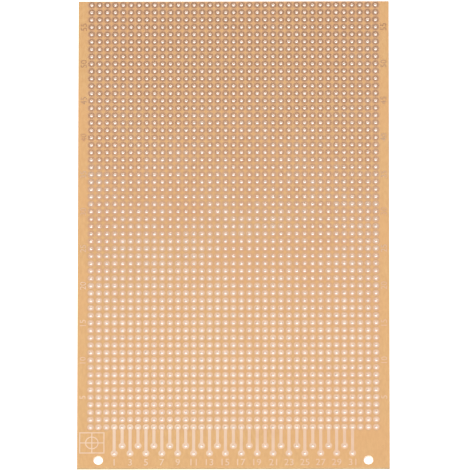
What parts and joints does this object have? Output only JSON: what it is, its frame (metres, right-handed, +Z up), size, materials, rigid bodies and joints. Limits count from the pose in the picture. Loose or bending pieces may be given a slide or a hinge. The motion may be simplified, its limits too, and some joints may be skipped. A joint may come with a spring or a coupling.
{
  "type": "prototype board",
  "caption": "Flat drilled prototype board with isolated round copper solder pads on a fine grid and the staggered footprint of an edge connector at one end.",
  "frame": {"origin": "middle of the bottom face, on the surface that the board lies on", "axes": "+Z up out of the copper side, X across the board, Y along its length with the connector end at -Y"},
  "size_m": [0.1, 0.16, 0.0015],
  "materials": {
    "laminate": "ochre phenolic paper laminate, satin, slightly translucent",
    "copper_pads": "bare etched copper foil, satin, lightly lacquered",
    "copper_tracks": "bare etched copper foil, satin, lightly lacquered"
  },
  "bodies": {
    "root": {"laminate": "laminate", "solder_pads": "copper_pads", "long_contact_tracks": "copper_tracks", "short_contact_tracks": "copper_tracks", "corner_mark": "copper_tracks"}
  },
  "joints": []
}
